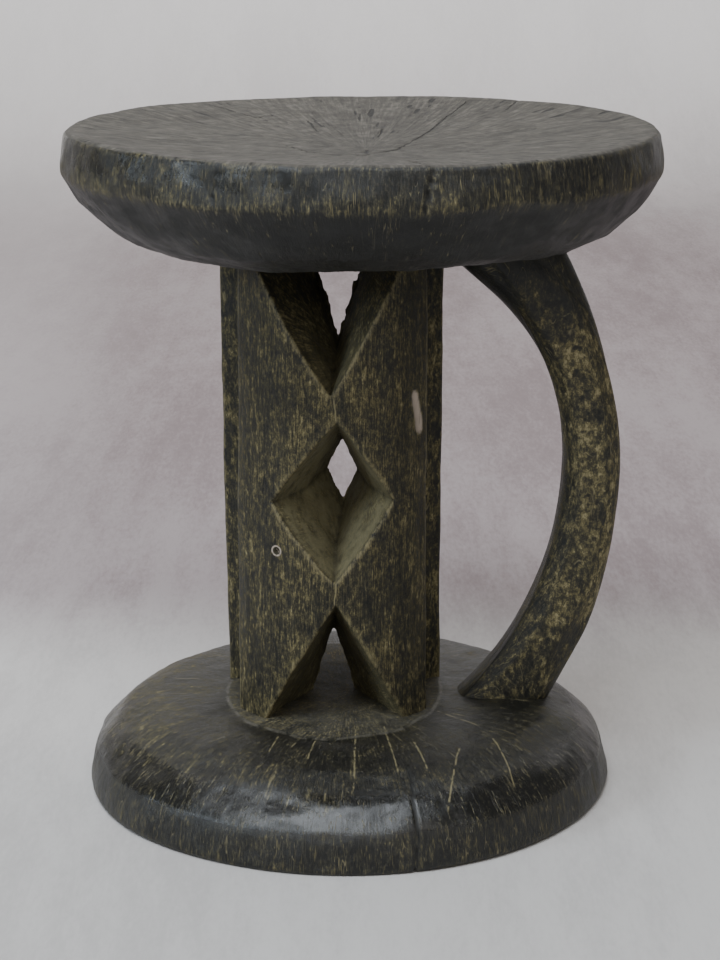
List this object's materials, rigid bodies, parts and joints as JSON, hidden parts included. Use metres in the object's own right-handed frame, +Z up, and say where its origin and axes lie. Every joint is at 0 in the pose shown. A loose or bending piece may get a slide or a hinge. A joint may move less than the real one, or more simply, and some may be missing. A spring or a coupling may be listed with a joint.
{
  "type": "carved stool",
  "caption": "Round one-log wooden stool: dished seat, drum pierced by a notch, a lozenge and an arch, bowed side handle and domed base.",
  "frame": {"origin": "on the floor, below the centre of the round seat", "axes": "+Z up; +X towards the side handle; -Y towards the stool's front wall"},
  "size_m": [0.302, 0.302, 0.345],
  "materials": {
    "seat_wood": "worn, grey-brown and matt on top, polished dark rim",
    "drum_wood": "adzed, smoke-dark patina with ochre grain",
    "handle_wood": "hand-polished patina with ochre grain",
    "base_wood": "adzed, satin dark patina"
  },
  "bodies": {
    "root": {"seat": "seat_wood", "front_wall": "drum_wood", "rear_wall": "drum_wood", "handle": "handle_wood", "base": "base_wood"}
  },
  "joints": []
}
